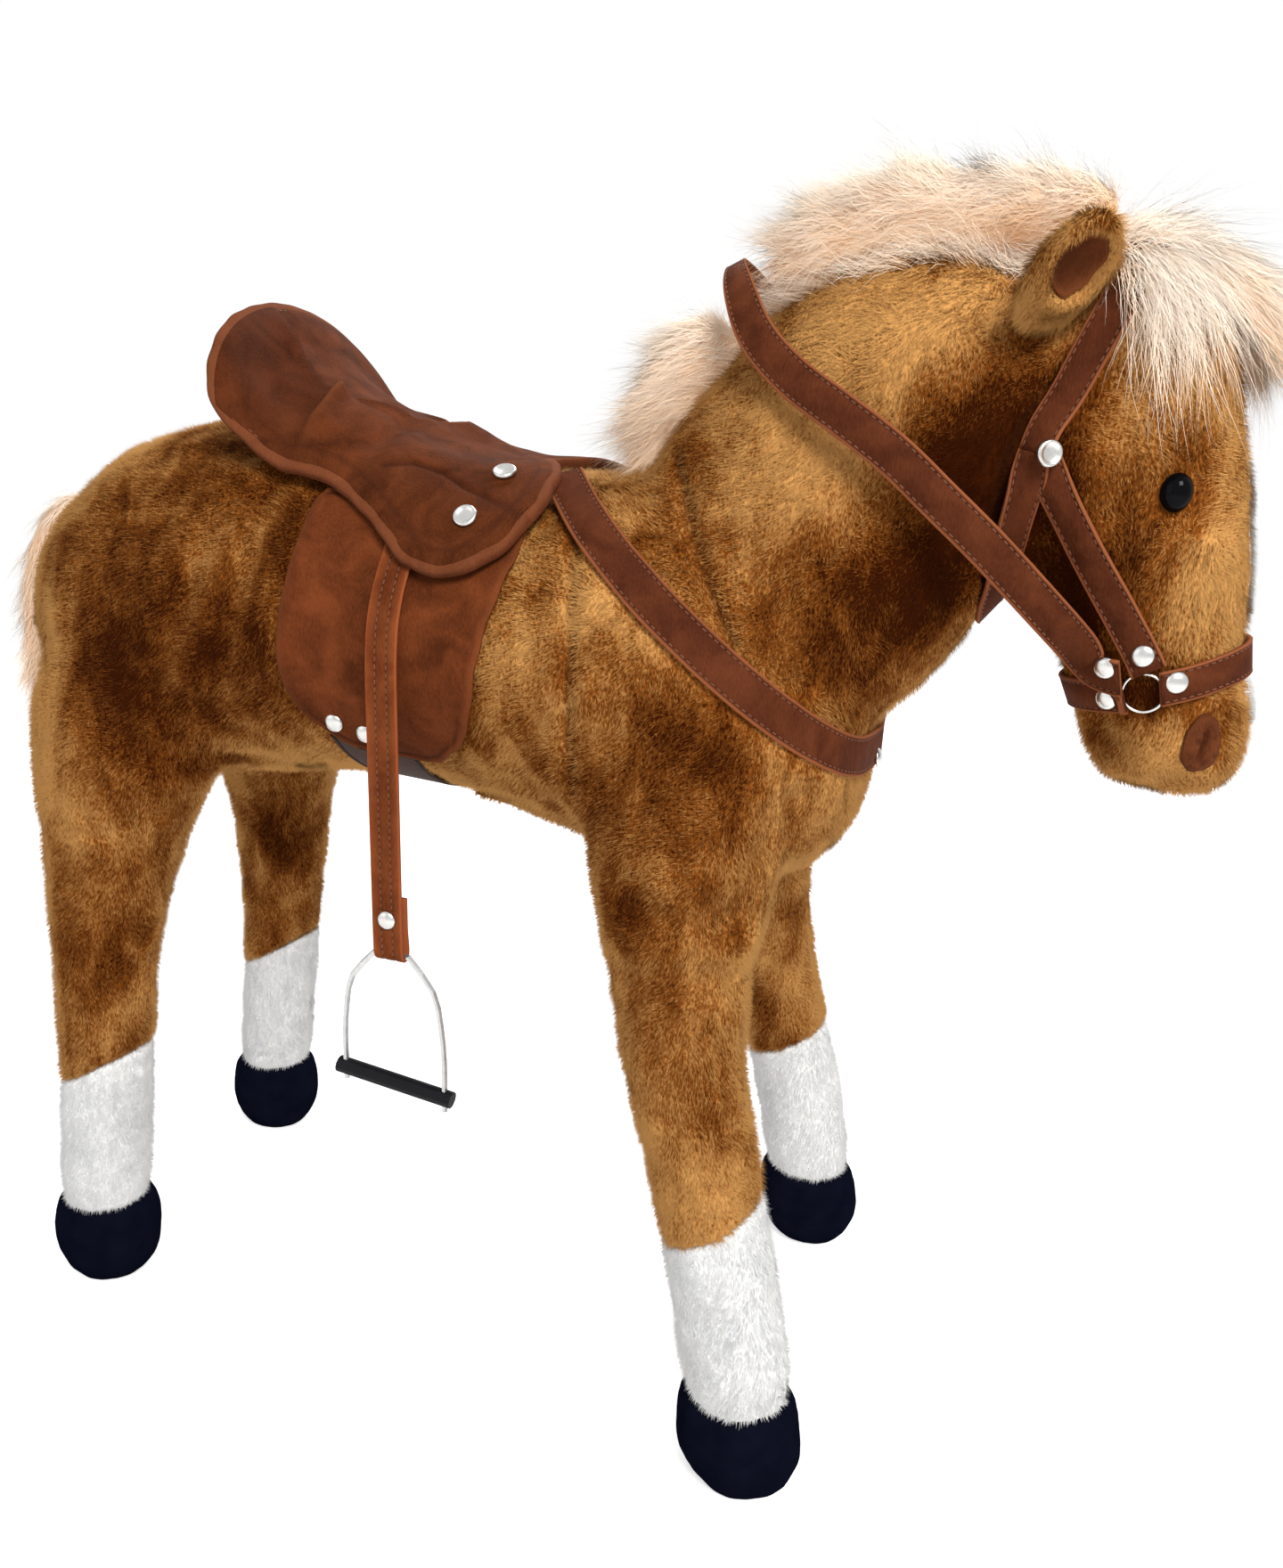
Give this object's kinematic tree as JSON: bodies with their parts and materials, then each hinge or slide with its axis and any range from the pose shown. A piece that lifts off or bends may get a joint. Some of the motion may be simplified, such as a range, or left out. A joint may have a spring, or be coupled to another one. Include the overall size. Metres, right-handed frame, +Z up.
{
  "type": "plush standing horse",
  "caption": "Standing plush ride-on horse in golden brown with cream mane, white socks, dark hooves, and a suede saddle, bridle, reins and wire stirrups.",
  "frame": {"origin": "centre of the bounding box on the plane of the soles", "axes": "+X towards the nose, +Y to the left side of the horse, +Z up"},
  "size_m": [0.7787, 0.293, 0.7093],
  "materials": {
    "brown_plush": "short crushed pile, golden to chestnut brown",
    "white_plush": "short white pile",
    "hoof_cloth": "smooth near-black cloth",
    "pale_hair": "long brushed cream pile",
    "suede": "brushed reddish-brown suede leatherette with stitched edges",
    "dark_webbing": "dark brown woven webbing",
    "eye_plastic": "glossy black",
    "nickel": "bright nickel plate",
    "steel": "plain drawn steel",
    "tread_rubber": "matt black"
  },
  "bodies": {
    "horse": {"torso": "brown_plush", "neck": "brown_plush", "head": "brown_plush", "ear_right": "brown_plush", "ear_left": "brown_plush", "upper_leg_front_right": "brown_plush", "upper_leg_front_left": "brown_plush", "upper_leg_rear_right": "brown_plush", "upper_leg_rear_left": "brown_plush", "face_blaze": "white_plush", "muzzle_snip": "white_plush", "sock_front_right": "white_plush", "sock_front_left": "white_plush", "sock_rear_right": "white_plush", "sock_rear_left": "white_plush", "hoof_front_right": "hoof_cloth", "hoof_front_left": "hoof_cloth", "hoof_rear_right": "hoof_cloth", "hoof_rear_left": "hoof_cloth", "mane_upper": "pale_hair", "mane_lower": "pale_hair", "forelock": "pale_hair", "saddle_seat": "suede", "saddle_flap_right": "suede", "saddle_flap_left": "suede", "breast_strap": "suede", "crown_strap": "suede", "throat_strap": "suede", "noseband": "suede", "chin_strap": "suede", "cheek_strap_right": "suede", "cheek_strap_left": "suede", "reins": "suede", "ear_lining_right": "suede", "ear_lining_left": "suede", "nostril_right": "suede", "nostril_left": "suede", "girth": "dark_webbing", "eye_right": "eye_plastic", "eye_left": "eye_plastic", "cheek_rivet_right": "nickel", "cheek_rivet_left": "nickel", "halter_ring_right": "nickel", "halter_ring_left": "nickel", "wing_rivet_right_1": "nickel", "wing_rivet_right_2": "nickel", "wing_rivet_left_1": "nickel", "wing_rivet_left_2": "nickel", "rear_leg_frame": "steel", "front_leg_frame": "steel", "spine_tube": "steel", "neck_rod": "steel"},
    "tail_body": {"tail": "pale_hair"},
    "belly_flap_body": {"belly_flap": "brown_plush"},
    "stirrup_leather_right_body": {"stirrup_leather_right": "suede"},
    "stirrup_iron_right_body": {"stirrup_iron_right": "steel", "stirrup_tread_right": "tread_rubber"},
    "stirrup_leather_left_body": {"stirrup_leather_left": "suede"},
    "stirrup_iron_left_body": {"stirrup_iron_left": "steel", "stirrup_tread_left": "tread_rubber"}
  },
  "joints": [
    {"name": "stirrup_leather_right_swing", "type": "hinge", "parent": "horse", "child": "stirrup_leather_right_body", "pos_m": [-0.0378, -0.12579, 0.51688], "axis": [-1, 0, 0], "range_deg": [0, 70]},
    {"name": "stirrup_leather_left_swing", "type": "hinge", "parent": "horse", "child": "stirrup_leather_left_body", "pos_m": [-0.0378, 0.12579, 0.51688], "axis": [1, 0, 0], "range_deg": [0, 70]},
    {"name": "stirrup_iron_right_swing", "type": "hinge", "parent": "stirrup_leather_right_body", "child": "stirrup_iron_right_body", "pos_m": [-0.0378, -0.12369, 0.29488], "axis": [-1, 0, 0], "range_deg": [-60, 60]},
    {"name": "stirrup_iron_left_swing", "type": "hinge", "parent": "stirrup_leather_left_body", "child": "stirrup_iron_left_body", "pos_m": [-0.0378, 0.12369, 0.38488], "axis": [1, 0, 0], "range_deg": [-12, 60]},
    {"name": "tail_lift", "type": "hinge", "parent": "horse", "child": "tail_body", "pos_m": [-0.29726, 0, 0.53332], "axis": [0, 1, 0], "range_deg": [0, 50]},
    {"name": "belly_flap_open", "type": "hinge", "parent": "horse", "child": "belly_flap_body", "pos_m": [0.00463, 0.03137, 0.35892], "axis": [0.9765, 0.0002, -0.2155], "range_deg": [0, 70]}
  ]
}
